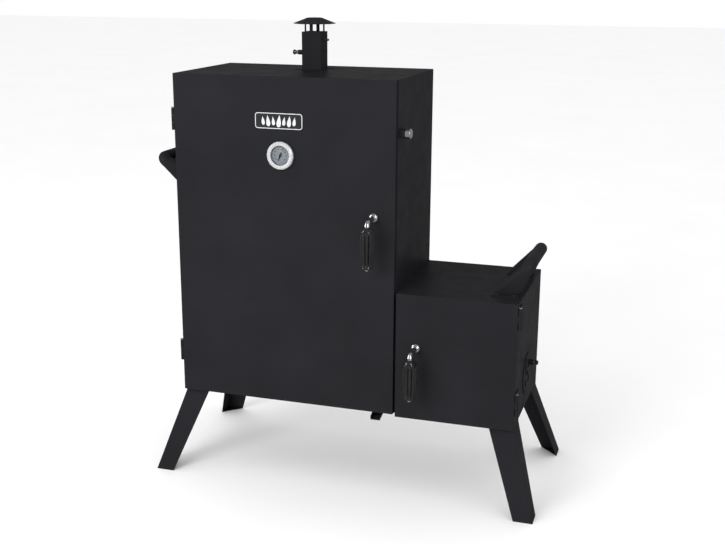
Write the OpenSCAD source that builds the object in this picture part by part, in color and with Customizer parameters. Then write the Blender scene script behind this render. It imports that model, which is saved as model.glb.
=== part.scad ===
// Vertical offset smoker: a tall cooking cabinet with a firebox bolted to its right-hand side.
// The origin is on the ground, below the middle of the smoker's bounding box.
// X runs from the cabinet to the firebox, Y from the doors to the back, Z up.

/* [Cooking cabinet] */
// Outside width of the cabinet
cabinet_w = 650; // [600:1:720]
// Outside depth of the cabinet without its door
cabinet_d = 374; // [360:1:420]
// Outside height of the cabinet
cabinet_h = 936; // [900:1:1000]
// Thickness of the sheet steel
sheet = 1.5; // [1.2:0.1:2]
// Thickness of a door pan, front to back
door_t = 13.5; // [12:0.5:18]
// Gap between the back of a door and the body
door_gap = 0.5; // [0.3:0.1:1]

/* [Firebox] */
// Outside width of the firebox
firebox_w = 343; // [320:1:380]
// Outside height of the firebox
firebox_h = 357; // [340:1:400]

/* [Legs] */
// Height of the body above the ground
leg_h = 245; // [220:1:280]
// How far each foot stands out past the body, in X and in Y
leg_splay = 73; // [50:1:90]
// Width of a leg's flange at the top
leg_top_w = 71; // [60:1:80]
// Width of a leg's flange at the ground
leg_foot_w = 54; // [45:1:60]

/* [Chimney] */
// Outside width of the square chimney tube
flue_w = 58; // [50:1:70]
// Height of the chimney tube above the cabinet
flue_h = 107; // [90:1:140]
// Height of the posts that carry the rain cap
cap_gap = 22; // [15:1:30]
// Width of the rain cap, corner to corner
cap_w = 122; // [100:1:140]
// Height of the rain cap
cap_h = 17; // [12:1:25]

/* [Handles and gauge] */
// Radius of a carrying handle's tube
handle_tube_r = 17.5; // [14:0.5:20]
// Distance between a carrying handle's feet
handle_span = 213; // [180:1:240]
// Distance from a carrying handle's feet to the middle of its bar
handle_reach = 107; // [80:1:120]
// Radius of the thermometer's bezel
gauge_r = 38.5; // [35:0.5:45]
// Length of a door handle's grip
grip_l = 96; // [80:1:105]

/* [Cooking grates] */
// Height between two cooking grates
grate_pitch = 100; // [90:1:105]

/* [Hidden] */

$fn = 64;
run = 0.05;                                 // radial clearance of a shaft in its bore
lip = 18;                                   // width of the folded edge round a front opening

// Carrying handles: tilt of the loop, and how far it stands out of its surface
handle_lean = 34;
handle_out = handle_reach * cos(handle_lean) + handle_tube_r;

// Door handles: how far a grip's axis and its front stand out of the door's face
latch_stand = 62;
grip_mid_r = 20.5;
front_out = door_gap + door_t + latch_stand + grip_mid_r;

// Body corners, placed so that the bounding box is centred on the origin
body_w = cabinet_w + firebox_w;
x_left = -body_w / 2 + (handle_out - leg_splay) / 2;
x_seam = x_left + cabinet_w;
x_right = x_left + body_w;
y_front = -cabinet_d / 2 + (front_out - leg_splay) / 2;
y_back = y_front + cabinet_d;
z_floor = leg_h;
z_top = z_floor + cabinet_h;
z_firebox = z_floor + firebox_h;
y_face = y_front - door_gap - door_t;       // outer face of both doors

// Port between firebox and cabinet
port_y0 = y_front + 77;
port_w = 220;
port_z0 = z_firebox - 185;
port_h = 130;

// Chimney
flue_x = x_left + cabinet_w / 2;
flue_y = y_front + 251;
flue_in = flue_w - 2 * sheet;
flue_plate = flue_in - 10;
flue_rod_z = z_top + flue_h - 23;
flue_rod_r = 3;
crank_x = -flue_w / 2 - 0.5;
crank_drop = 37;
crank_bend_r = 3.5;
crank_grip_l = 30;
flue_rod_out = 15;                          // how far the rod sticks out on the right
flue_flange = 14;
cap_top_w = 42;
post_w = 10;
// Height of the cap's underside above its rim, where the outer face of a post meets it
post_in_cap = (cap_h - sheet) * (cap_w / 2 - flue_w / 2 / cos(22.5)) / (cap_w / 2 - cap_top_w / 2);

// Hinges
barrel_r = 5;
pin_r = 3;
knuckle_h = 20;
hinge_h = 62;
hinge_dy = -9;                              // from the body's front to the pin's axis
hinge_out = 5.5;                            // from the body's side to the pin's axis
leaf_t = 2.5;
leaf_w = 38;
cabinet_hinge_zs = [z_floor + 91, z_floor + 777];
firebox_hinge_zs = [z_floor + 38, z_floor + 284];

// Door handles
latch_hub_r = 14;
latch_rod_r = 7;
latch_bend_r = 14;
latch_drop = 15;                            // from the hub's axis to the top of the grip's ferrule
ferrule_h = 12;
grip_top_r = 18.5;
grip_foot_r = 16;
grip_steps = 10;
spindle_r = 5.5;
cabinet_latch = [x_left + 589, z_floor + 566];
firebox_latch = [x_seam + 63, z_floor + 206];
cam_l = 52;
cam_t = 3;
cam_gap = 3;                                // from the body's front lip to the cam
cam_y = door_t + door_gap + sheet + cam_gap;

// Gauge and badge
gauge_at = [x_left + cabinet_w / 2 - 4, z_floor + 722];
gauge_depth = 12;
bezel_w = 11;
dial_r = gauge_r - bezel_w;
badge_at = [x_left + cabinet_w / 2 - 9, z_floor + 816];
badge_w = 141;
badge_h = 46;
badge_r = 8;
dial_out = 4;                               // from the door's face to the back of the dial
lens_out = 8.5;                             // from the door's face to the back of the lens
lens_t = 2;
probe_r = 3.5;
probe_l = 64;
needle_axle_r = 1.5;
needle_lean = 202;

// Cooking grates
grate_count = 6;
grate_w = 612;
grate_d = 350;
grate_y = y_front + 12;
grate_bar = 4;
first_grate_z = z_floor + 362;
grate_bars = 29;
rail_w = 28;
rail_h = 12;
rack_upright_w = 20;

// Grease chute under the floor
spout_x = x_left + 590;
spout_y = y_front + 96;
spout_w = 28;
spout_l = 92;
spout_slope = 14;
drain_r = 8;

// Knob on the cabinet's side
knob_y = y_front + 24;
knob_z = z_floor + 793;
knob_boss_l = 14;
knob_stem_r = 4;
knob_r = 14;
knob_l = 17;

// Carrying handles
handle_bend_r = 20;
handle_foot_w = 62;                         // width of a leg's flattened end
handle_flat_t = 8;
handle_pad_l = 76;
handle_pad_w = 28;
handle_pad_t = 4;
handle_bolt_spots = [for (x = [-22, 22], s = [-1, 1]) [x, s * (handle_span / 2 + 18.5)]];
handle_y = y_front + 180;
left_handle_z = z_floor + 620;
right_handle_x = x_right - 48;

// Bolts
bolt_r = 3.2;
bolt_hole_r = 3.4;
bolt_head_r = 7;
nut_r = 6.5;
nut_h = 4;
leg_t = 2;
leg_top_h = 8;                              // upright length at the top of each leg
leg_bolt_spots = [[14, 46], [46, 14]];

// Firebox damper wheel
wheel_r = 60;
wheel_y = y_front + 176;
wheel_z = z_floor + 98;
wheel_t = 2;
wheel_gap = 0.4;
wheel_pivot_r = 3;
vent_r = 12;
vent_ring = 33;
wheel_knob_ring = 48;
wheel_knob_angle = 24;

// Charcoal grate and ash pan
charcoal_z = z_floor + 120;
charcoal_w = 304;
charcoal_d = 330;
charcoal_y = y_front + 22;
charcoal_bar = 6;
ash_w = 296;
ash_d = 320;
ash_h = 40;

module black() color([0.07, 0.07, 0.08]) children();
module steel() color([0.72, 0.73, 0.75]) children();

// A sheet between two corners
module plate(from, to) translate(from) cube(to - from);

// Points a module's Z axis along +X, -X or -Y
module to_right() rotate([0, 90, 0]) children();
module to_left() rotate([0, -90, 0]) children();
module to_front() rotate([90, 0, 0]) children();

// ---- Cabinet and firebox panels ----

// A side wall whose outer face is at x. It lies on the side of x that into points to,
// and folds that way round the front opening.
module side_wall(x, into, z1)
    translate([x, y_front, z_floor + sheet]) mirror([into > 0 ? 0 : 1, 0, 0]) union() {
        cube([sheet, cabinet_d, z1 - z_floor - 2 * sheet]);
        cube([lip, sheet, z1 - z_floor - 2 * sheet]);
    }

module back_wall(x0, x1, z1)
    plate([x0 + sheet, y_back - sheet, z_floor + sheet], [x1 - sheet, y_back, z1 - sheet]);

// A floor from x0 to x1. It folds up round the front opening.
module floor_panel(x0, x1)
    translate([x0, y_front, z_floor]) union() {
        cube([x1 - x0, cabinet_d, sheet]);
        translate([lip, 0, 0]) cube([x1 - x0 - 2 * lip, sheet, lip]);
    }

// A top whose upper face is at z1. It folds down round the front opening.
module top_panel(x0, x1, z1)
    translate([0, 0, z1 + z_floor]) mirror([0, 0, 1]) floor_panel(x0, x1);

module port_cut()
    translate([x_seam - lip / 2, port_y0, port_z0]) cube([lip, port_w, port_h]);

module cabinet_left_wall()
    black() difference() {
        side_wall(x_left, 1, z_top);
        left_handle_place() handle_bolt_holes();
    }

module cabinet_right_wall()
    black() difference() {
        side_wall(x_seam, -1, z_top);
        port_cut();
    }

module cabinet_back() black() back_wall(x_left, x_seam, z_top);

module cabinet_top()
    black() difference() {
        top_panel(x_left, x_seam, z_top);
        translate([flue_x - flue_in / 2, flue_y - flue_in / 2, z_top - sheet - 1])
            cube([flue_in, flue_in, sheet + 2]);
    }

module cabinet_floor()
    black() difference() {
        floor_panel(x_left, x_seam);
        translate([spout_x, spout_y, z_floor - 1]) cylinder(r = drain_r, h = sheet + 2);
        leg_bolt_places(x_left, x_seam) cylinder(r = bolt_hole_r, h = sheet + 2);
    }

module firebox_left_wall()
    black() difference() {
        side_wall(x_seam, 1, z_firebox);
        port_cut();
    }

module firebox_right_wall()
    black() difference() {
        side_wall(x_right, -1, z_firebox);
        vent_holes();
        translate([x_right - sheet - 1, wheel_y, wheel_z]) to_right()
            cylinder(r = wheel_pivot_r, h = sheet + 2);
    }

module firebox_back() black() back_wall(x_seam, x_right, z_firebox);

module firebox_top()
    black() difference() {
        top_panel(x_seam, x_right, z_firebox);
        right_handle_place() handle_bolt_holes();
    }

module firebox_floor()
    black() difference() {
        floor_panel(x_seam, x_right);
        leg_bolt_places(x_seam, x_right) cylinder(r = bolt_hole_r, h = sheet + 2);
    }

// ---- Inside the cabinet ----

// Two uprights and an L-shaped runner for each grate, on the inner face at x
module grate_rack(x, into)
    steel() translate([x, grate_y, 0]) mirror([into > 0 ? 0 : 1, 0, 0]) union() {
        for (y = [10, grate_d - 10 - rack_upright_w])
            translate([0, y, first_grate_z - 60])
                cube([sheet, rack_upright_w, (grate_count - 1) * grate_pitch + 60]);
        for (i = [0 : grate_count - 1])
            translate([sheet, 0, first_grate_z + i * grate_pitch]) {
                translate([0, 0, -rail_h]) cube([sheet, grate_d, rail_h]);
                translate([0, 0, -sheet]) cube([rail_w, grate_d, sheet]);
            }
    }

module grate_rack_left() grate_rack(x_left + sheet, 1);
module grate_rack_right() grate_rack(x_seam - sheet, -1);

// A flat grate of thin bars inside a frame, with cross supports below the bars
module bar_grate(w, d, bar, count, supports)
    union() {
        for (y = [0, d - bar]) translate([0, y, 0]) cube([w, bar, bar]);
        for (x = [0, w - bar]) translate([x, 0, 0]) cube([bar, d, bar]);
        for (i = [1 : count])
            translate([i * (w - bar) / (count + 1) + bar / 4, bar / 2, bar / 2])
                cube([bar / 2, d - bar, bar / 2]);
        for (i = [1 : supports])
            translate([bar / 2, i * (d - bar) / (supports + 1), 0]) cube([w - bar, bar, bar / 2]);
    }

module cooking_grate(i)
    steel() translate([x_left + (cabinet_w - grate_w) / 2, grate_y,
                       first_grate_z + (i - 1) * grate_pitch])
        bar_grate(grate_w, grate_d, grate_bar, grate_bars, 3);

// An open chute under the floor's drain hole, sloping down to the front
module grease_spout()
    black() translate([spout_x, spout_y, z_floor]) difference() {
        union() {
            translate([-spout_w / 2 - 8, -16, -2]) cube([spout_w + 16, 40, 2]);
            rotate([spout_slope, 0, 0]) translate([-spout_w / 2, -spout_l, -12])
                cube([spout_w, spout_l + 14, 12]);
        }
        rotate([spout_slope, 0, 0])
            translate([-spout_w / 2 + 2, -spout_l - 1, -10]) cube([spout_w - 4, spout_l + 13, 20]);
        translate([-spout_w, -spout_l - 5, 0]) cube([2 * spout_w, 2 * spout_l, 40]);
    }

// ---- Knob on the cabinet's right-hand side ----

module side_knob_boss()
    black() translate([x_seam, knob_y, knob_z]) to_right() difference() {
        cylinder(r = 13, h = knob_boss_l);
        translate([0, 0, 2]) cylinder(r = knob_stem_r + run, h = knob_boss_l);
    }

module side_knob()
    steel() translate([x_seam, knob_y, knob_z]) to_right() union() {
        translate([0, 0, 2.5]) cylinder(r = knob_stem_r, h = knob_boss_l);
        translate([0, 0, knob_boss_l + 0.5]) rotate_extrude() polygon([
            [0, 0], [knob_r - 1.5, 0], [knob_r, 1.5], [knob_r, knob_l - 3],
            [knob_r - 3, knob_l], [0, knob_l]]);
    }

// ---- Inside the firebox ----

module charcoal_ledges()
    steel() for (x = [x_seam + sheet, x_right - sheet - rail_w])
        translate([x, charcoal_y, charcoal_z - sheet]) cube([rail_w, charcoal_d, sheet]);

module charcoal_grate()
    steel() translate([x_seam + (firebox_w - charcoal_w) / 2, charcoal_y, charcoal_z])
        bar_grate(charcoal_w, charcoal_d, charcoal_bar, 15, 2);

// An open tray with a pull folded out of its front wall
module ash_pan()
    steel() translate([x_seam + (firebox_w - ash_w) / 2, charcoal_y + 6, z_floor + sheet])
        difference() {
            union() {
                cube([ash_w, ash_d, ash_h]);
                translate([ash_w / 2 - 45, -12, ash_h - 14]) cube([90, 14, 14]);
            }
            translate([sheet, sheet, sheet]) cube([ash_w - 2 * sheet, ash_d - 2 * sheet, ash_h]);
            translate([ash_w / 2 - 45 - 1, -12 + sheet, ash_h - 15]) cube([92, 12 - sheet, 15 - sheet]);
        }

// ---- Firebox damper ----

module vent_holes()
    for (a = [45 : 90 : 315])
        translate([x_right - 5, wheel_y + vent_ring * cos(a), wheel_z + vent_ring * sin(a)])
            to_right() cylinder(r = vent_r, h = 10);

module side_damper_wheel()
    black() difference() {
        translate([x_right + wheel_gap, wheel_y, wheel_z]) to_right()
            cylinder(r = wheel_r, h = wheel_t);
        vent_holes();
        translate([x_right, wheel_y, wheel_z]) to_right()
            cylinder(r = wheel_pivot_r + run, h = 10);
    }

module side_damper_pivot()
    steel() translate([x_right, wheel_y, wheel_z]) to_right() union() {
        translate([0, 0, -sheet - 2]) cylinder(r = 2 * wheel_pivot_r, h = 2);
        translate([0, 0, -sheet - 1]) cylinder(r = wheel_pivot_r, h = sheet + wheel_t + 3);
        translate([0, 0, wheel_t + 2 * wheel_gap]) cylinder(r = 7, h = 2.5);
    }

module side_damper_knob()
    steel() translate([x_right + wheel_gap + wheel_t,
                       wheel_y + wheel_knob_ring * cos(wheel_knob_angle),
                       wheel_z + wheel_knob_ring * sin(wheel_knob_angle)])
        to_right() rotate_extrude() polygon([
            [0, 0], [8, 0], [8, 12], [7, 13], [7, 21], [5, 24], [0, 24]]);

// ---- Legs, each drawn for a corner at [0, 0] whose body lies towards +X and +Y ----

// A flange that starts upright under the body, then leans outwards both ways
module leg_flange()
    union() {
        translate([0, 0, leg_h - leg_top_h]) cube([leg_top_w, leg_t, leg_top_h]);
        hull() {
            translate([0, 0, leg_h - leg_top_h]) cube([leg_top_w, leg_t, 0.5]);
            translate([-leg_splay, -leg_splay, 0]) cube([leg_foot_w, leg_t, 0.5]);
        }
    }

// A flat triangle in the leg's corner, cut off across the ends of the flanges
module leg_tab(at, w, z)
    translate([at, at, z]) linear_extrude(leg_t) polygon([[0, 0], [w, 0], [0, w]]);

module leg()
    black() difference() {
        union() {
            leg_flange();
            mirror([1, -1, 0]) leg_flange();
            leg_tab(-leg_splay, leg_foot_w, 0);
            leg_tab(0, leg_top_w, leg_h - leg_t);
        }
        for (p = leg_bolt_spots)
            translate([p[0], p[1], leg_h - 20]) cylinder(r = bolt_hole_r, h = 40);
    }

module at_corner(right, rear)
    translate([right ? x_right : x_left, rear ? y_back : y_front, 0])
        mirror([right ? 1 : 0, 0, 0]) mirror([0, rear ? 1 : 0, 0]) children();

// Repeats its children at each leg bolt between x0 and x1, just below the floor
module leg_bolt_places(x0, x1)
    for (right = [false, true], rear = [false, true])
        if ((right ? x_right : x_left) >= x0 && (right ? x_right : x_left) <= x1)
            at_corner(right, rear) for (p = leg_bolt_spots)
                translate([p[0], p[1], z_floor - 1]) children();

module leg_front_left() at_corner(false, false) leg();
module leg_front_right() at_corner(true, false) leg();
module leg_rear_left() at_corner(false, true) leg();
module leg_rear_right() at_corner(true, true) leg();

// A bolt along Z with its head's underside at 0, through grip of sheet to a nut
module bolt(grip)
    union() {
        translate([0, 0, -grip - nut_h - 1]) cylinder(r = bolt_r, h = grip + nut_h + 2);
        translate([0, 0, -grip - nut_h]) cylinder(r = nut_r, h = nut_h, $fn = 6);
        rotate_extrude() polygon([
            [0, 0], [bolt_head_r, 0], [bolt_head_r, 1], [bolt_head_r - 2, 3], [0, 4]]);
    }

module leg_bolts()
    black() leg_bolt_places(x_left, x_right)
        translate([0, 0, 1 - leg_t]) mirror([0, 0, 1]) bolt(leg_t + sheet);

// ---- Chimney ----

module chimney_tube()
    black() translate([flue_x, flue_y, z_top]) difference() {
        union() {
            translate([-flue_w / 2, -flue_w / 2, 0]) cube([flue_w, flue_w, flue_h]);
            translate([-flue_w / 2 - flue_flange, -flue_w / 2 - flue_flange, 0])
                cube([flue_w + 2 * flue_flange, flue_w + 2 * flue_flange, sheet]);
            for (a = [0 : 90 : 270]) rotate(a)
                translate([flue_in / 2, -post_w / 2, flue_h - 1])
                    cube([sheet, post_w, cap_gap + post_in_cap + 1]);
        }
        translate([-flue_in / 2, -flue_in / 2, -1]) cube([flue_in, flue_in, flue_h + 2]);
        translate([-flue_w, 0, flue_rod_z - z_top]) to_right()
            cylinder(r = flue_rod_r + run, h = 2 * flue_w);
    }

// An eight-sided cone with a flat top
module cap_shape()
    rotate_extrude($fn = 8) polygon([
        [0, 0], [cap_w / 2, 0], [cap_w / 2, sheet], [cap_top_w / 2, cap_h], [0, cap_h]]);

module chimney_cap()
    black() translate([flue_x, flue_y, z_top + flue_h + cap_gap]) rotate(22.5) difference() {
        cap_shape();
        translate([0, 0, -sheet]) cap_shape();
    }

module flue_damper_plate()
    black() translate([flue_x - flue_plate / 2, flue_y + flue_rod_r, flue_rod_z - flue_plate / 2])
        cube([flue_plate, sheet, flue_plate]);

// A quarter bend of round bar in the XZ plane, starting at angle from
module crank_bend(from)
    to_front() rotate(from) rotate_extrude(angle = 90)
        translate([crank_bend_r, 0]) circle(r = flue_rod_r);

// The rod runs through the tube, turns down outside it, then out again to the grip
module flue_damper_rod()
    steel() translate([flue_x, flue_y, flue_rod_z]) union() {
        translate([crank_x, 0, 0]) to_right()
            cylinder(r = flue_rod_r, h = flue_w / 2 + flue_rod_out - crank_x);
        translate([crank_x, 0, -crank_bend_r]) crank_bend(90);
        translate([crank_x - crank_bend_r, 0, crank_bend_r - crank_drop])
            cylinder(r = flue_rod_r, h = crank_drop - 2 * crank_bend_r);
        translate([crank_x - 2 * crank_bend_r, 0, crank_bend_r - crank_drop]) crank_bend(-90);
        translate([crank_x - 2 * crank_bend_r, 0, -crank_drop]) to_left()
            cylinder(r = flue_rod_r, h = crank_grip_l - 6);
    }

module flue_damper_grip()
    black() translate([flue_x + crank_x - 2 * crank_bend_r, flue_y, flue_rod_z - crank_drop])
        to_left() rotate_extrude() polygon([
            [flue_rod_r, 0], [6, 0], [7, 2], [7, 12], [4.8, 18], [4.8, 21], [7.2, 25],
            [7.2, crank_grip_l - 2], [5, crank_grip_l], [0, crank_grip_l],
            [0, crank_grip_l - 6], [flue_rod_r, crank_grip_l - 6]]);

// ---- Carrying handles ----

// A loop of tube that stands on the plane Z = 0, its feet along Y, and leans towards +X
module carry_handle()
    black() union() {
        difference() {
            rotate([0, handle_lean, 0]) union() {
                translate([0, handle_bend_r - handle_span / 2, handle_reach]) rotate([-90, 0, 0])
                    cylinder(r = handle_tube_r, h = handle_span - 2 * handle_bend_r);
                for (s = [-1, 1]) translate([0, s * handle_span / 2, 0]) handle_leg(s);
            }
            translate([-handle_span, -handle_span, -100]) cube([2 * handle_span, 2 * handle_span, 100]);
        }
        for (s = [-1, 1]) handle_pad(s);
    }

// One leg of the loop: a bend, then a length that is pressed flat across Y towards its foot
module handle_leg(s)
    union() {
        translate([0, -s * handle_bend_r, handle_reach - handle_bend_r])
            rotate([90, 0, 90]) rotate(s > 0 ? 0 : 90)
            rotate_extrude(angle = 90) translate([handle_bend_r, 0]) circle(r = handle_tube_r);
        hull() {
            translate([0, 0, handle_reach - handle_bend_r - 1])
                cylinder(r = handle_tube_r, h = 1, $fn = 32);
            translate([-handle_foot_w / 2, -handle_flat_t / 2, -28])
                cube([handle_foot_w, handle_flat_t, 36]);
        }
    }

// The plate that a leg is welded to. It points outwards along Y and takes two bolts.
module handle_pad(s)
    difference() {
        translate([-handle_pad_l / 2, s * handle_span / 2 - (s > 0 ? 0 : handle_pad_w), 0])
            cube([handle_pad_l, handle_pad_w, handle_pad_t]);
        handle_bolt_holes();
    }

module handle_bolt_holes()
    for (p = handle_bolt_spots)
        translate([p[0], p[1], -sheet - 1]) cylinder(r = bolt_hole_r, h = sheet + handle_pad_t + 2);

// The plane that each handle is bolted to, with +X up the cabinet or off the firebox's edge
module left_handle_place() translate([x_left, handle_y, left_handle_z]) to_left() children();
module right_handle_place() translate([right_handle_x, handle_y, z_firebox]) children();

module carry_handle_left() left_handle_place() carry_handle();
module carry_handle_right() right_handle_place() carry_handle();

module handle_bolt_set()
    for (p = handle_bolt_spots)
        translate([p[0], p[1], handle_pad_t]) bolt(handle_pad_t + sheet);

module carry_handle_bolts()
    black() {
        left_handle_place() handle_bolt_set();
        right_handle_place() handle_bolt_set();
    }

// ---- Hinges, drawn for the right-hand side and mirrored to the left ----

module at_hinge(right, z)
    translate([right ? x_right : x_left, y_front, z]) mirror([right ? 0 : 1, 0, 0]) children();

module hinge_bore()
    translate([hinge_out, hinge_dy, -1]) cylinder(r = pin_r + run, h = hinge_h + 2);

module body_leaf()
    difference() {
        union() {
            for (z = [0, hinge_h - knuckle_h]) translate([0, 0, z]) {
                translate([hinge_out, hinge_dy, 0]) cylinder(r = barrel_r, h = knuckle_h);
                translate([door_gap, hinge_dy, 0]) cube([leaf_t - door_gap, 2 - hinge_dy, knuckle_h]);
            }
            translate([0, 1, 0]) cube([leaf_t, leaf_w, hinge_h]);
        }
        hinge_bore();
    }

module door_leaf()
    difference() {
        union() {
            translate([hinge_out, hinge_dy, knuckle_h + door_gap])
                cylinder(r = barrel_r, h = hinge_h - 2 * knuckle_h - 2 * door_gap);
            translate([0, -door_gap - door_t + 1, knuckle_h + door_gap])
                cube([leaf_t, door_t - 2, hinge_h - 2 * knuckle_h - 2 * door_gap]);
        }
        hinge_bore();
    }

module hinge_pin()
    translate([hinge_out, hinge_dy, 0]) union() {
        cylinder(r = pin_r, h = hinge_h + 1);
        translate([0, 0, hinge_h]) cylinder(r = barrel_r, h = 2.5);
    }

module hinge_body_leaves()
    black() {
        for (z = cabinet_hinge_zs) at_hinge(false, z) body_leaf();
        for (z = firebox_hinge_zs) at_hinge(true, z) body_leaf();
    }

module hinge_pins()
    steel() {
        for (z = cabinet_hinge_zs) at_hinge(false, z) hinge_pin();
        for (z = firebox_hinge_zs) at_hinge(true, z) hinge_pin();
    }

module cabinet_door_hinge_leaves() black() for (z = cabinet_hinge_zs) at_hinge(false, z) door_leaf();
module firebox_door_hinge_leaves() black() for (z = firebox_hinge_zs) at_hinge(true, z) door_leaf();

// ---- Doors ----

// A shallow pan that opens to the back
module door_pan(x0, x1, z0, z1)
    difference() {
        plate([x0, y_face, z0], [x1, y_face + door_t, z1]);
        plate([x0 + sheet, y_face + sheet, z0 + sheet], [x1 - sheet, y_face + door_t + 1, z1 - sheet]);
    }

module face_hole(at, r)
    translate([at[0], y_face + sheet + 1, at[1]]) to_front() cylinder(r = r, h = sheet + 2);

module cabinet_door_skin()
    black() difference() {
        door_pan(x_left, x_seam - 2, z_floor, z_top);
        face_hole(cabinet_latch, spindle_r + run);
        face_hole(gauge_at, probe_r);
    }

module firebox_door_skin()
    black() difference() {
        door_pan(x_seam + 5, x_right, z_floor - 6, z_firebox);
        face_hole(firebox_latch, spindle_r + run);
    }

// ---- Badge ----

module badge_plate()
    color([0.2, 0.2, 0.21]) translate([badge_at[0], y_face, badge_at[1]]) to_front()
        linear_extrude(1.5) union() {
            square([badge_w, badge_h - 2 * badge_r], center = true);
            square([badge_w - 2 * badge_r, badge_h], center = true);
            for (x = [-1, 1], y = [-1, 1])
                translate([x * (badge_w / 2 - badge_r), y * (badge_h / 2 - badge_r)])
                    circle(r = badge_r);
        }

// ---- Thermometer ----

// Stands on the door's face, out from it by the given distance
module on_gauge(out) translate([gauge_at[0], y_face - out, gauge_at[1]]) to_front() children();

module gauge_case()
    steel() on_gauge(0) rotate_extrude() polygon([
        [probe_r, 0], [gauge_r - 3, 0], [gauge_r, 3], [gauge_r, gauge_depth - 3],
        [gauge_r - 3, gauge_depth], [gauge_r - 5, gauge_depth], [dial_r, lens_out + lens_t],
        [dial_r, dial_out], [probe_r, dial_out]]);

module gauge_dial()
    color("lightgray") on_gauge(dial_out) difference() {
        cylinder(r = dial_r, h = 1);
        translate([0, 0, -1]) cylinder(r = needle_axle_r + run, h = 3);
    }

module gauge_lens()
    color([0.8, 0.9, 1, 0.3]) on_gauge(lens_out) cylinder(r = dial_r, h = lens_t);

// The probe's stem goes through the door, with a hexagonal nut behind the skin
module gauge_probe()
    steel() difference() {
        union() {
            on_gauge(dial_out - probe_l) cylinder(r = probe_r, h = probe_l);
            on_gauge(-sheet - nut_h) cylinder(r = 10, h = nut_h, $fn = 6);
        }
        on_gauge(dial_out - 3) cylinder(r = needle_axle_r + run, h = 4);
    }

module gauge_needle()
    color("black") on_gauge(dial_out + 1.5) rotate(-needle_lean) union() {
        cylinder(r = 3.2, h = 1.5);
        translate([0, 0, -4]) cylinder(r = needle_axle_r, h = 5);
        linear_extrude(1) polygon([[-1.8, -8], [1.8, -8], [2, 0], [0.9, 16], [-0.9, 16], [-2, 0]]);
    }

// ---- Door handles, each placed by its spindle's axis in the door's face ----

module at_latch(at) translate([at[0], y_face, at[1]]) children();

// Hub on the door and a rod that comes out, bends down and enters the grip
module latch_arm(at)
    steel() at_latch(at) union() {
        to_front() translate([0, 0, 0.3]) rotate_extrude() polygon([
            [0, 0], [latch_hub_r, 0], [latch_hub_r, 3], [latch_hub_r - 1.5, 6.5],
            [latch_hub_r - 4.5, 9.5], [latch_rod_r, 10.5], [0, 10.5]]);
        translate([0, cam_y + cam_t + 2, 0]) to_front() cylinder(r = spindle_r, h = cam_y + cam_t + 4);
        to_front() translate([0, 0, 5]) cylinder(r = latch_rod_r, h = latch_stand - latch_bend_r - 5);
        translate([0, latch_bend_r - latch_stand, -latch_bend_r]) rotate([90, 0, 90]) rotate(90)
            rotate_extrude(angle = 90) translate([latch_bend_r, 0]) circle(r = latch_rod_r);
        translate([0, -latch_stand, -latch_drop])
            cylinder(r = latch_rod_r, h = latch_drop - latch_bend_r);
    }

module latch_ferrules(at)
    steel() at_latch(at) translate([0, -latch_stand, -latch_drop]) {
        translate([0, 0, -ferrule_h]) rotate_extrude() polygon([
            [0, 0], [grip_top_r + 1, 0], [grip_top_r + 1, 3], [grip_top_r - 3, 4.5],
            [grip_top_r - 6, 9], [latch_rod_r + 3, ferrule_h], [0, ferrule_h]]);
        translate([0, 0, -ferrule_h - grip_l]) mirror([0, 0, 1]) rotate_extrude() polygon([
            [0, 0], [grip_foot_r + 1, 0], [grip_foot_r + 1, 4], [6, 6], [5, 12], [0, 14]]);
    }

// The grip swells below its top ferrule, then tapers to its foot. t runs from 0 to 1 down it.
function grip_r(t) = t < 0.3
    ? grip_top_r + (grip_mid_r - grip_top_r) * sin(300 * t)
    : grip_foot_r + (grip_mid_r - grip_foot_r) * cos((t - 0.3) / 0.7 * 90);

module latch_grip(at)
    color([0.05, 0.05, 0.05]) at_latch(at) translate([0, -latch_stand, -latch_drop - ferrule_h])
        mirror([0, 0, 1]) rotate_extrude() polygon(concat(
            [[0, 0]],
            [for (i = [0 : grip_steps]) [grip_r(i / grip_steps), i * grip_l / grip_steps]],
            [[0, grip_l]]));

// A tongue behind the door. It points up at rest and turns behind the body's folded edge.
module latch_cam(at)
    steel() at_latch(at) translate([0, cam_y + cam_t, 0]) to_front() linear_extrude(cam_t)
        difference() {
            union() {
                circle(r = 10);
                translate([-8, 0]) square([16, cam_l]);
            }
            circle(r = spindle_r);
        }

module cabinet_latch_arm() latch_arm(cabinet_latch);
module cabinet_latch_ferrules() latch_ferrules(cabinet_latch);
module cabinet_latch_grip() latch_grip(cabinet_latch);
module cabinet_latch_cam() latch_cam(cabinet_latch);
module firebox_latch_arm() latch_arm(firebox_latch);
module firebox_latch_ferrules() latch_ferrules(firebox_latch);
module firebox_latch_grip() latch_grip(firebox_latch);
module firebox_latch_cam() latch_cam(firebox_latch);

cabinet_left_wall();
cabinet_right_wall();
cabinet_back();
cabinet_top();
cabinet_floor();
grate_rack_left();
grate_rack_right();
for (i = [1 : grate_count])
    cooking_grate(i);
grease_spout();
side_knob_boss();
side_knob();
firebox_left_wall();
firebox_right_wall();
firebox_back();
firebox_top();
firebox_floor();
charcoal_ledges();
charcoal_grate();
ash_pan();
side_damper_wheel();
side_damper_pivot();
side_damper_knob();
leg_front_left();
leg_front_right();
leg_rear_left();
leg_rear_right();
leg_bolts();
chimney_tube();
chimney_cap();
flue_damper_plate();
flue_damper_rod();
flue_damper_grip();
carry_handle_left();
carry_handle_right();
carry_handle_bolts();
hinge_body_leaves();
hinge_pins();
cabinet_door_skin();
cabinet_door_hinge_leaves();
badge_plate();
gauge_case();
gauge_dial();
gauge_lens();
gauge_probe();
gauge_needle();
cabinet_latch_arm();
cabinet_latch_ferrules();
cabinet_latch_grip();
cabinet_latch_cam();
firebox_door_skin();
firebox_door_hinge_leaves();
firebox_latch_arm();
firebox_latch_ferrules();
firebox_latch_grip();
firebox_latch_cam();
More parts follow.
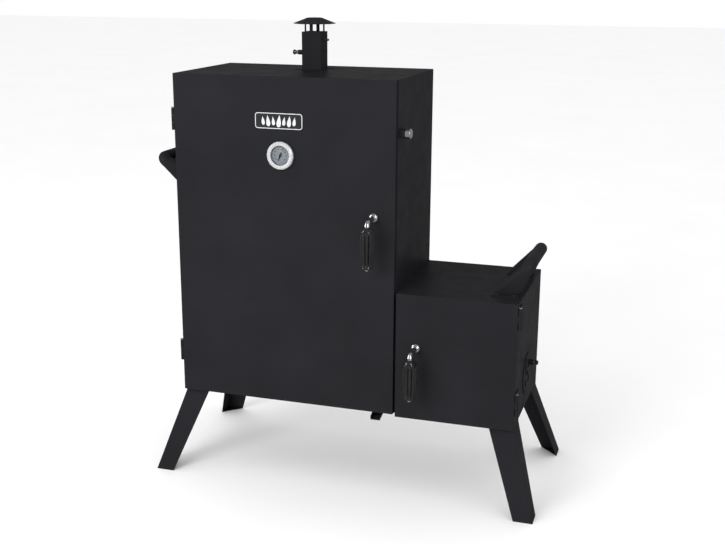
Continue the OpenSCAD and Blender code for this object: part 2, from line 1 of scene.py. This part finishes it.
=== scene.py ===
"""Looks of the vertical offset smoker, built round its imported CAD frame. Lengths are in metres."""

from math import cos, pi, radians, sin

import bmesh
import bpy
from mathutils import Matrix, Vector


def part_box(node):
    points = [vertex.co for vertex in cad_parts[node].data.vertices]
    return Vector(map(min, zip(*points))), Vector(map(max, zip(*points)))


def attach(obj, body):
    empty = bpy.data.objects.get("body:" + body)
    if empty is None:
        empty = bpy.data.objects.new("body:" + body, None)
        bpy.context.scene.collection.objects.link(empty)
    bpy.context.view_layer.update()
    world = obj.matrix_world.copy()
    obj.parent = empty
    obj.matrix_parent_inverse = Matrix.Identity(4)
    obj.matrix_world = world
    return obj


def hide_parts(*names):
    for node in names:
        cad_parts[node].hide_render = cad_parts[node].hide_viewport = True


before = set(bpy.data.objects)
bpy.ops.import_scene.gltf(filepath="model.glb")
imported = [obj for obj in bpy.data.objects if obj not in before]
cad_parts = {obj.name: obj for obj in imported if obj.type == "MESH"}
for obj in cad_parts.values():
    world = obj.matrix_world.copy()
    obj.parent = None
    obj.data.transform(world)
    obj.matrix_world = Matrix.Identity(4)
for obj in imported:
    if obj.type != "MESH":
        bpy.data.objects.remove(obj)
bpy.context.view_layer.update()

MM = 0.001


# ---- Materials ----


def noise(tree, scale, detail, stretch=(1, 1, 1)):
    """Noise in object space. Returns its output from 0 to 1."""
    where = tree.nodes.new("ShaderNodeTexCoord")
    mapping = tree.nodes.new("ShaderNodeMapping")
    mapping.inputs["Scale"].default_value = stretch
    texture = tree.nodes.new("ShaderNodeTexNoise")
    texture.inputs["Scale"].default_value = scale
    texture.inputs["Detail"].default_value = detail
    tree.links.new(where.outputs["Object"], mapping.inputs["Vector"])
    tree.links.new(mapping.outputs["Vector"], texture.inputs["Vector"])
    return texture.outputs["Fac"]


def spread(tree, value, low, high):
    """Maps the middle part of a noise to the range from low to high."""
    node = tree.nodes.new("ShaderNodeMapRange")
    node.inputs["From Min"].default_value = 0.3
    node.inputs["From Max"].default_value = 0.7
    node.inputs["To Min"].default_value = low
    node.inputs["To Max"].default_value = high
    tree.links.new(value, node.inputs["Value"])
    return node.outputs["Result"]


def finish_material(name, dark, light, rough, metallic=0.0, grain=900, bump=0.1, depth=0.0002,
                    patch=5, stretch=(1, 1, 1), coat=0.0, shine=0.5):
    """A worn surface: patches of two tones and two roughnesses, with fine grain in the bump.

    Shine is the strength of the reflection. A powder coat needs far less than bare plastic.
    """
    material = bpy.data.materials.new(name)
    material.use_nodes = True
    tree = material.node_tree
    shader = tree.nodes["Principled BSDF"]
    shader.inputs["Metallic"].default_value = metallic
    shader.inputs["Specular IOR Level"].default_value = shine
    shader.inputs["Coat Weight"].default_value = coat
    shader.inputs["Coat Roughness"].default_value = 0.06

    tone = tree.nodes.new("ShaderNodeMix")
    tone.data_type = "RGBA"
    tone.inputs["A"].default_value = (*dark, 1)
    tone.inputs["B"].default_value = (*light, 1)
    tree.links.new(spread(tree, noise(tree, patch, 6, stretch), 0, 1), tone.inputs["Factor"])
    tree.links.new(tone.outputs["Result"], shader.inputs["Base Color"])

    mottle = noise(tree, patch * 4, 8, stretch)
    tree.links.new(spread(tree, mottle, *rough), shader.inputs["Roughness"])

    relief = tree.nodes.new("ShaderNodeBump")
    relief.inputs["Strength"].default_value = bump
    relief.inputs["Distance"].default_value = depth
    tree.links.new(noise(tree, grain, 3, stretch), relief.inputs["Height"])
    tree.links.new(relief.outputs["Normal"], shader.inputs["Normal"])
    return material


powder_coat = finish_material(
    "powder_coat", (0.0150, 0.0152, 0.0174), (0.0186, 0.0188, 0.0216), (0.36, 0.46),
    grain=700, bump=0.18, depth=0.0002, shine=0.03)
zinc = finish_material(
    "zinc", (0.50, 0.51, 0.53), (0.66, 0.67, 0.69), (0.24, 0.42), metallic=1.0,
    grain=500, bump=0.12, patch=60)
sheet_steel = finish_material(
    "sheet_steel", (0.40, 0.40, 0.41), (0.55, 0.55, 0.56), (0.30, 0.48), metallic=1.0,
    grain=260, bump=0.15, patch=9, stretch=(1, 1, 12))
grate_chrome = finish_material(
    "grate_chrome", (0.60, 0.61, 0.63), (0.75, 0.76, 0.78), (0.14, 0.26), metallic=1.0,
    grain=600, bump=0.06, patch=20)
cast_iron = finish_material(
    "cast_iron", (0.035, 0.034, 0.034), (0.060, 0.057, 0.055), (0.55, 0.75), metallic=0.6,
    grain=420, bump=0.5, depth=0.0005, patch=18)
chrome = finish_material(
    "chrome", (0.78, 0.79, 0.81), (0.88, 0.89, 0.90), (0.16, 0.24), metallic=1.0,
    grain=300, bump=0.03, patch=40)
spun_steel = finish_material(
    "spun_steel", (0.70, 0.71, 0.72), (0.80, 0.81, 0.82), (0.22, 0.34), metallic=0.45,
    grain=500, bump=0.08, patch=50)
gloss_black = finish_material(
    "gloss_black", (0.010, 0.010, 0.011), (0.015, 0.015, 0.016), (0.12, 0.20),
    grain=250, bump=0.05, patch=30, coat=0.6)
dark_plate = finish_material(
    "dark_plate", (0.016, 0.016, 0.018), (0.022, 0.022, 0.024), (0.30, 0.42),
    grain=900, bump=0.1, patch=40)
white_print = finish_material(
    "white_print", (0.55, 0.56, 0.57), (0.68, 0.69, 0.70), (0.35, 0.5),
    grain=1200, bump=0.1, patch=80)
dial_print = finish_material(
    "dial_print", (0.25, 0.28, 0.31), (0.30, 0.33, 0.36), (0.35, 0.5),
    grain=1500, bump=0.05, patch=60)
black_print = finish_material(
    "black_print", (0.012, 0.012, 0.014), (0.020, 0.020, 0.022), (0.4, 0.55),
    grain=1500, bump=0.05, patch=60)
lens_glass = finish_material(
    "lens_glass", (0.02, 0.02, 0.02), (0.03, 0.03, 0.03), (0.02, 0.06),
    grain=80, bump=0.02, patch=30)
lens_glass.node_tree.nodes["Principled BSDF"].inputs["Alpha"].default_value = 0.12


# ---- CAD nodes: joined edges, smooth curves, rounded folds ----


def smooth_by_angle(degrees):
    """A node group that smooths faces and keeps edges sharp above an angle."""
    group = bpy.data.node_groups.new(f"smooth_below_{degrees}", "GeometryNodeTree")
    group.interface.new_socket("Geometry", in_out="INPUT", socket_type="NodeSocketGeometry")
    group.interface.new_socket("Geometry", in_out="OUTPUT", socket_type="NodeSocketGeometry")
    come, go = group.nodes.new("NodeGroupInput"), group.nodes.new("NodeGroupOutput")
    faces = group.nodes.new("GeometryNodeSetShadeSmooth")
    edges = group.nodes.new("GeometryNodeSetShadeSmooth")
    edges.domain = "EDGE"
    angle = group.nodes.new("GeometryNodeInputMeshEdgeAngle")
    limit = group.nodes.new("FunctionNodeCompare")
    limit.operation = "LESS_THAN"
    limit.inputs["B"].default_value = radians(degrees)
    group.links.new(angle.outputs["Unsigned Angle"], limit.inputs["A"])
    group.links.new(limit.outputs["Result"], edges.inputs["Shade Smooth"])
    group.links.new(come.outputs[0], faces.inputs["Geometry"])
    group.links.new(faces.outputs["Geometry"], edges.inputs["Geometry"])
    group.links.new(edges.outputs["Geometry"], go.inputs[0])
    return group


SMOOTH = smooth_by_angle(30)
FACETED = smooth_by_angle(8)


def dress(node, material, fold, smoothing=SMOOTH):
    """Gives a CAD node its material and rounds its edges by fold."""
    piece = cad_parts[node]
    piece.data.materials.clear()
    piece.data.materials.append(material)
    weld = piece.modifiers.new("join", "WELD")
    weld.merge_threshold = 0.01 * MM
    flatten = piece.modifiers.new("flatten", "DECIMATE")
    flatten.decimate_type = "DISSOLVE"
    flatten.angle_limit = radians(0.5)
    if fold > 0:
        bevel = piece.modifiers.new("fold", "BEVEL")
        bevel.width = fold
        bevel.segments = 2
        bevel.limit_method = "ANGLE"
        bevel.angle_limit = radians(40)
    piece.modifiers.new("smooth", "NODES").node_group = smoothing
    weigh = piece.modifiers.new("weigh", "WEIGHTED_NORMAL")
    weigh.keep_sharp = True
    weigh.weight = 100


# Material and edge rounding of every node that is not plain powder coat
FINISHES = {
    "cabinet_latch_arm": (chrome, 0.5 * MM),
    "firebox_latch_arm": (chrome, 0.5 * MM),
    "cabinet_latch_cam": (zinc, 0.3 * MM),
    "firebox_latch_cam": (zinc, 0.3 * MM),
    "gauge_case": (spun_steel, 0.4 * MM),
    "gauge_probe": (spun_steel, 0.3 * MM),
    "gauge_dial": (dial_print, 0),
    "gauge_lens": (lens_glass, 0),
    "gauge_needle": (black_print, 0),
    "badge_plate": (dark_plate, 0.4 * MM),
    "side_knob": (chrome, 0.4 * MM),
    "side_damper_knob": (gloss_black, 0.5 * MM),
    "flue_damper_rod": (zinc, 0.3 * MM),
    "flue_damper_grip": (gloss_black, 0.8 * MM),
    "hinge_pins": (zinc, 0.4 * MM),
    "charcoal_grate": (cast_iron, 0.6 * MM),
    "charcoal_ledges": (sheet_steel, 0.3 * MM),
    "ash_pan": (sheet_steel, 0.4 * MM),
    "grate_rack_left": (sheet_steel, 0.3 * MM),
    "grate_rack_right": (sheet_steel, 0.3 * MM),
}
DOORS = ("cabinet_door_skin", "firebox_door_skin")
# Rounding folds over on the thin ends of the splayed legs, so they keep sharp edges
LEGS = ("leg_front_left", "leg_front_right", "leg_rear_left", "leg_rear_right")

for node_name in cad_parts:
    if node_name in FINISHES:
        dress(node_name, *FINISHES[node_name])
    elif node_name in LEGS:
        dress(node_name, powder_coat, 0)
    elif node_name == "chimney_cap":
        dress(node_name, powder_coat, 0.4 * MM, FACETED)
    else:
        dress(node_name, powder_coat, 1.2 * MM if node_name in DOORS else 0.5 * MM)


# ---- Mesh pieces ----


def add_piece(name, mesh, material, body, stands_for=()):
    """A finished mesh as a smooth piece that moves with a CAD body."""
    bm = bmesh.new()
    bm.from_mesh(mesh)
    bmesh.ops.recalc_face_normals(bm, faces=bm.faces)
    bm.to_mesh(mesh)
    bm.free()
    mesh.materials.append(material)
    piece = bpy.data.objects.new(name, mesh)
    bpy.context.scene.collection.objects.link(piece)
    piece.modifiers.new("smooth", "NODES").node_group = SMOOTH
    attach(piece, body)
    for node in stands_for:
        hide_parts(node)
    return piece


def mesh_from(name, points, faces):
    mesh = bpy.data.meshes.new(name)
    mesh.from_pydata(points, [], faces)
    return mesh


def middle(node):
    low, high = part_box(node)
    return (Vector(low) + Vector(high)) / 2


def rings_to_faces(rings, around, closed_ends=True):
    """Faces of a skin over rings of points, each with the same number around."""
    faces = []
    for i in range(rings - 1):
        for j in range(around):
            k = (j + 1) % around
            faces.append((i * around + j, i * around + k, (i + 1) * around + k, (i + 1) * around + j))
    if closed_ends:
        faces.append(tuple(range(around)))
        faces.append(tuple(range((rings - 1) * around, rings * around)))
    return faces


RIBS = 10
AROUND = RIBS * 10
GRIP_RINGS = 40
RIM = 48


def lathe(name, profile, x, y, z, material, body):
    """A turned piece about a vertical axis. The profile is a list of [radius, height above z]."""
    points = [(x + r * cos(2 * pi * j / RIM), y + r * sin(2 * pi * j / RIM), z + h)
              for r, h in profile for j in range(RIM)]
    return add_piece(name, mesh_from(name, points, rings_to_faces(len(profile), RIM)), material, body)


def scaled(profile):
    """A profile given in millimetres."""
    return [(r * MM, h * MM) for r, h in profile]


def fluted_grip(name, centre, top, bottom, belly, body):
    """A barrel-shaped grip of convex ribs that fade out at both ends."""
    points = []
    for i in range(GRIP_RINGS):
        t = i / (GRIP_RINGS - 1)
        if t < 0.3:
            radius = belly * (0.90 + 0.10 * sin(t / 0.3 * pi / 2))
        else:
            radius = belly * (0.71 + 0.29 * cos((t - 0.3) / 0.7 * pi / 2))
        groove = 5.0 * MM * min(1, sin(pi * t) * 3)
        for j in range(AROUND):
            a = 2 * pi * j / AROUND
            r = radius - groove * (1 - abs(cos(a * RIBS / 2)) ** 0.8)
            points.append((centre.x + r * cos(a), centre.y + r * sin(a), top - t * (top - bottom)))
    mesh = mesh_from(name, points, rings_to_faces(GRIP_RINGS, AROUND))
    return add_piece(name, mesh, gloss_black, body)


def door_handle(kind):
    """The grip of a door handle, with its collar, foot ring and chromed end button."""
    body = f"{kind}_latch"
    low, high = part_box(f"{kind}_latch_grip")
    centre = middle(f"{kind}_latch_grip")
    grip = fluted_grip(f"{kind}_grip_fluted", centre, high[2], low[2], (high[0] - low[0]) / 2, body)
    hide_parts(f"{kind}_latch_grip")
    collar = lathe(f"{kind}_grip_collar", scaled([
        (18.2, 0), (19.2, 0.5), (19.5, 1.5), (19.2, 2.6), (17.6, 3.2), (16.2, 3.6), (15.6, 4.6),
        (14.6, 7.0), (12.4, 9.4), (9.6, 11.2), (8.2, 12), (7.4, 12)]),
        centre.x, centre.y, high[2], gloss_black, body)
    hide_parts(f"{kind}_latch_ferrules")
    lathe(f"{kind}_grip_foot", scaled([
        (5.6, -7.5), (9.0, -7.2), (12.6, -5.6), (15.0, -3.8), (15.5, -2.4), (15.2, -1.0), (14.2, 0)]),
        centre.x, centre.y, low[2], gloss_black, body)
    lathe(f"{kind}_grip_button", scaled([
        (1.2, -13.8), (3.4, -13.0), (5.0, -11.4), (5.6, -9.4), (5.4, -7.2)]),
        centre.x, centre.y, low[2], chrome, body)


door_handle("cabinet")
door_handle("firebox")


# ---- Cooking grates: round wires welded under a rod frame ----


def add_rod(bm, start, end, radius, sides=10):
    """A round rod between two points."""
    start, end = Vector(start), Vector(end)
    along = end - start
    turn = along.to_track_quat("Z", "Y").to_matrix().to_4x4()
    bmesh.ops.create_cone(
        bm, cap_ends=True, segments=sides, radius1=radius, radius2=radius, depth=along.length,
        matrix=Matrix.Translation((start + end) / 2) @ turn)


def add_bent_rod(bm, points, radius, sides=10):
    """A round rod through points on a closed loop in the XY plane."""
    count = len(points)
    rings = []
    for i, point in enumerate(points):
        ahead = (Vector(points[(i + 1) % count]) - Vector(points[i - 1])).normalized()
        side = Vector((ahead.y, -ahead.x, 0))
        rings.append([
            bm.verts.new(Vector(point) + radius * (cos(2 * pi * j / sides) * side
                                                  + sin(2 * pi * j / sides) * Vector((0, 0, 1))))
            for j in range(sides)])
    for i in range(count):
        here, there = rings[i], rings[(i + 1) % count]
        for j in range(sides):
            k = (j + 1) % sides
            bm.faces.new((here[j], here[k], there[k], there[j]))


def rounded_loop(x0, y0, x1, y1, z, corner, steps=6):
    """Points round a rectangle with rounded corners."""
    points = []
    for cx, cy, first in ((x1, y1, 0), (x0, y1, 90), (x0, y0, 180), (x1, y0, 270)):
        cx += corner if cx == x0 else -corner
        cy += corner if cy == y0 else -corner
        for i in range(steps + 1):
            a = radians(first + 90 * i / steps)
            points.append((cx + corner * cos(a), cy + corner * sin(a), z))
    return points


FRAME_ROD = 2.4 * MM
WIRE = 1.6 * MM
WIRES = 29


def wire_grate(node, body):
    (x0, y0, z0), (x1, y1, _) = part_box(node)
    bm = bmesh.new()
    z = z0 + FRAME_ROD
    add_bent_rod(bm, rounded_loop(x0 + FRAME_ROD, y0 + FRAME_ROD, x1 - FRAME_ROD, y1 - FRAME_ROD,
                                  z, 14 * MM), FRAME_ROD)
    for i in range(WIRES):
        x = x0 + (x1 - x0) * (i + 1) / (WIRES + 1)
        add_rod(bm, (x, y0 + FRAME_ROD, z + 0.6 * MM), (x, y1 - FRAME_ROD, z + 0.6 * MM), WIRE, 8)
    for i in range(3):
        y = y0 + (y1 - y0) * (i + 1) / 4
        add_rod(bm, (x0 + FRAME_ROD, y, z - WIRE), (x1 - FRAME_ROD, y, z - WIRE), 2 * MM)
    mesh = bpy.data.meshes.new(node + "_wires")
    bm.to_mesh(mesh)
    bm.free()
    add_piece(node + "_wires", mesh, grate_chrome, body, [node])


for grate in range(1, 7):
    wire_grate(f"cooking_grate_{grate}", "smoker_body")


# ---- Flat prints: they stand a little in front of a surface that faces -Y ----


def slab(name, outlines, y, depth, material, body):
    """Flat shapes with the given [x, z] outlines, standing out from y towards -Y by depth."""
    points, faces = [], []
    for outline in outlines:
        first, count = len(points), len(outline)
        points += [(x, y, z) for x, z in outline] + [(x, y - depth, z) for x, z in outline]
        faces.append(tuple(range(first, first + count)))
        faces.append(tuple(range(first + count, first + 2 * count)))
        for i in range(count):
            k = (i + 1) % count
            faces.append((first + i, first + k, first + count + k, first + count + i))
    return add_piece(name, mesh_from(name, points, faces), material, body)


def band(name, inner, outer, y, depth, material, body):
    """A closed flat band between two outlines with the same number of points."""
    count = len(inner)
    points = [(x, yy, z) for yy in (y, y - depth) for line in (inner, outer) for x, z in line]
    faces = []
    for i in range(count):
        k = (i + 1) % count
        a, b, c, d = 0, count, 2 * count, 3 * count
        faces += [(a + i, a + k, b + k, b + i), (c + i, c + k, d + k, d + i),
                  (a + i, a + k, c + k, c + i), (b + i, b + k, d + k, d + i)]
    return add_piece(name, mesh_from(name, points, faces), material, body)


def round_rect(cx, cz, w, h, corner):
    loop = rounded_loop(cx - w / 2, cz - h / 2, cx + w / 2, cz + h / 2, 0, corner, 8)
    return [(x, z) for x, z, _ in loop]


badge = middle("badge_plate")
badge_low, badge_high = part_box("badge_plate")
badge_w, badge_h = badge_high[0] - badge_low[0], badge_high[2] - badge_low[2]
badge_face = badge_low[1]
band("badge_outline",
     round_rect(badge.x, badge.z, badge_w - 7 * MM, badge_h - 7 * MM, 6 * MM),
     round_rect(badge.x, badge.z, badge_w - 3 * MM, badge_h - 3 * MM, 8 * MM),
     badge_face, 0.4 * MM, white_print, "cabinet_door")


def flame(cx, cz, size, lean):
    """Outline of a flame: a drop with its tip bent to one side."""
    outline = []
    for i in range(28):
        a = 2 * pi * i / 28
        width = sin(a) * sin(a / 2) ** 1.5
        outline.append((cx + size * (0.55 * width + lean * (1 + cos(a)) ** 2 / 8), cz + size * cos(a)))
    return outline


FLAMES = ((-45, 12), (-30, 15), (-15, 12), (0, 17), (15, 12), (30, 15), (45, 12))
slab("badge_flames",
     [flame(badge.x + x * MM, badge.z, size * MM, 0.4 if x >= 0 else -0.4) for x, size in FLAMES],
     badge_face, 0.4 * MM, white_print, "cabinet_door")


# ---- Thermometer's scale ----

dial = middle("gauge_dial")
dial_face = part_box("gauge_dial")[0][1]
dial_r = (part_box("gauge_dial")[1][0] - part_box("gauge_dial")[0][0]) / 2
FIRST_ANGLE, LAST_ANGLE = 238, -58


def tick(angle, inner, outer, width):
    a = radians(angle)
    along, side = Vector((cos(a), sin(a))), Vector((-sin(a), cos(a))) * width / 2
    corners = [along * inner + side, along * outer + side, along * outer - side, along * inner - side]
    return [(dial.x + c.x, dial.z + c.y) for c in corners]


def arc(first, last, radius, width, steps=40):
    angles = [radians(first + (last - first) * i / steps) for i in range(steps + 1)]
    outer = [(dial.x + radius * cos(a), dial.z + radius * sin(a)) for a in angles]
    inner = [(dial.x + (radius - width) * cos(a), dial.z + (radius - width) * sin(a))
             for a in reversed(angles)]
    return outer + inner


def ring(radius, steps=48):
    return [(dial.x + radius * cos(2 * pi * i / steps), dial.z + radius * sin(2 * pi * i / steps))
            for i in range(steps)]


band("dial_edge", ring(dial_r * 0.955), ring(dial_r * 0.998), dial_face, 0.3 * MM, black_print,
     "cabinet_door")

ticks = [arc(FIRST_ANGLE, LAST_ANGLE, dial_r * 0.93, 0.5 * MM)]
for i in range(41):
    angle = FIRST_ANGLE + (LAST_ANGLE - FIRST_ANGLE) * i / 40
    major = i % 5 == 0
    ticks.append(tick(angle, dial_r * (0.78 if major else 0.85), dial_r * 0.93,
                      (0.8 if major else 0.4) * MM))
slab("dial_ticks", ticks, dial_face, 0.2 * MM, black_print, "cabinet_door")


def dial_number(value, angle):
    """A generic number on the dial, as a mesh."""
    curve = bpy.data.curves.new(f"number_{value}", "FONT")
    curve.body = str(value)
    curve.size = 4.4 * MM
    curve.align_x = curve.align_y = "CENTER"
    curve.extrude = 0.08 * MM
    curve.resolution_u = 3
    text = bpy.data.objects.new("number_source", curve)
    bpy.context.scene.collection.objects.link(text)
    mesh = bpy.data.meshes.new_from_object(text.evaluated_get(bpy.context.evaluated_depsgraph_get()))
    bpy.data.objects.remove(text)
    a = radians(angle)
    reach = 0.63 * dial_r
    place = Vector((dial.x + reach * cos(a), dial_face - 0.08 * MM, dial.z + reach * sin(a)))
    mesh.transform(Matrix.Translation(place) @ Matrix.Rotation(pi / 2, 4, "X"))
    mesh.materials.clear()
    add_piece(f"dial_number_{value}", mesh, black_print, "cabinet_door")


for i, value in enumerate(range(100, 500, 50)):
    dial_number(value, FIRST_ANGLE + (LAST_ANGLE - FIRST_ANGLE) * (i * 5 + 2.5) / 40)


# ---- Floor, lights and camera ----

FLOOR_REACH = 30
ground = mesh_from("ground", [(x * FLOOR_REACH, y * FLOOR_REACH, 0)
                              for x, y in ((-1, -1), (1, -1), (1, 1), (-1, 1))], [(0, 1, 2, 3)])
ground.materials.append(finish_material(
    "studio_floor", (0.95, 0.95, 0.95), (0.97, 0.97, 0.97), (0.75, 0.85), grain=60, bump=0.02, patch=1))
floor = bpy.data.objects.new("ground", ground)
bpy.context.scene.collection.objects.link(floor)

# Strength of the sky as the camera sees it, as it lights surfaces, and as surfaces mirror it
SKY_SEEN, SKY_LIGHT, SKY_MIRRORED = 1.0, 1.06, 0.22


def studio_world():
    """A white world that lights softly and shows only faintly in glossy surfaces."""
    world = bpy.data.worlds.new("studio")
    world.use_nodes = True
    tree = world.node_tree
    background = tree.nodes["Background"]
    background.inputs["Color"].default_value = (1, 1, 1, 1)
    path = tree.nodes.new("ShaderNodeLightPath")
    strength = SKY_LIGHT
    for ray, level in (("Is Camera Ray", SKY_SEEN), ("Is Glossy Ray", SKY_MIRRORED)):
        step = tree.nodes.new("ShaderNodeMath")
        step.operation = "MULTIPLY_ADD"
        step.inputs[1].default_value = level - SKY_LIGHT
        tree.links.new(path.outputs[ray], step.inputs[0])
        if isinstance(strength, float):
            step.inputs[2].default_value = strength
        else:
            tree.links.new(strength, step.inputs[2])
        strength = step.outputs[0]
    tree.links.new(strength, background.inputs["Strength"])
    return world


bpy.context.scene.world = studio_world()
bpy.context.scene.view_settings.view_transform = "Standard"
floor.visible_glossy = False


def soft_light(name, place, aim, size, power, mirrored_only=False):
    """A panel of light. It either lights matt surfaces or is mirrored by glossy ones, not both."""
    light = bpy.data.lights.new(name, "AREA")
    light.shape = "RECTANGLE"
    light.size, light.size_y = size
    light.energy = power
    lamp = bpy.data.objects.new(name, light)
    lamp.location = place
    lamp.rotation_euler = (Vector(aim) - Vector(place)).to_track_quat("-Z", "Y").to_euler()
    lamp.visible_glossy = mirrored_only
    lamp.visible_diffuse = not mirrored_only
    bpy.context.scene.collection.objects.link(lamp)


soft_light("key", (-1.6, -4.2, 2.6), (0, 0, 0.5), (2.4, 2.0), 120)
soft_light("right_panel", (2.6, -2.6, 1.9), (0.2, 0, 0.6), (0.5, 2.2), 60, mirrored_only=True)
soft_light("left_panel", (-2.8, -1.6, 1.6), (-0.2, 0, 0.6), (0.4, 2.2), 40, mirrored_only=True)

YAW, PITCH, ROLL = radians(17.58), radians(15.168), radians(0.266)
ahead = Vector((-sin(YAW) * cos(PITCH), cos(YAW) * cos(PITCH), -sin(PITCH)))
level = Vector((cos(YAW), sin(YAW), 0))
above = level.cross(ahead)
right = level * cos(ROLL) + above * sin(ROLL)
up = right.cross(ahead)

lens = bpy.data.cameras.new("camera")
lens.sensor_width = 36
lens.lens = 54.86
camera = bpy.data.objects.new("camera", lens)
turn = Matrix((right, up, -ahead)).transposed().to_4x4()
camera.matrix_world = Matrix.Translation((0.9664, -2.9944, 1.453)) @ turn
bpy.context.scene.collection.objects.link(camera)
bpy.context.scene.camera = camera
